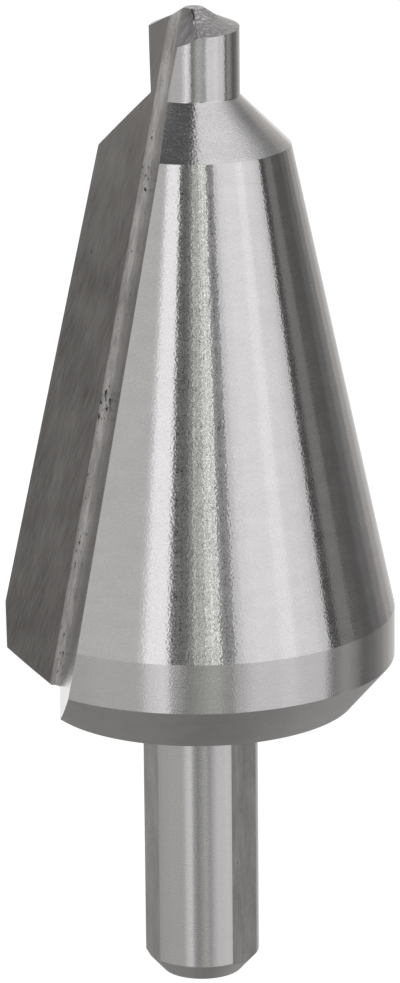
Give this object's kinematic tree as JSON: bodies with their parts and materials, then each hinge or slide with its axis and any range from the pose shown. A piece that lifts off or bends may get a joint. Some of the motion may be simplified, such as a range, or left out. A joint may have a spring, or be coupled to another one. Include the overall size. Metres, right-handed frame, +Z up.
{
  "type": "cone drill bit",
  "caption": "Cone-shaped drill bit with a straight flute, a short pilot with a gashed point and a flatted shank, for opening up holes in sheet metal and tube.",
  "frame": {"origin": "centre of the shank's end face", "axes": "+Z up the tool's axis to the point, -X towards the flute, -Y the way the rake face looks"},
  "size_m": [0.0305, 0.0304, 0.0774],
  "materials": {
    "steel": "bright high-speed steel, finely turned and ground"
  },
  "bodies": {
    "root": {"cone_drill_bit": "steel"}
  },
  "joints": []
}
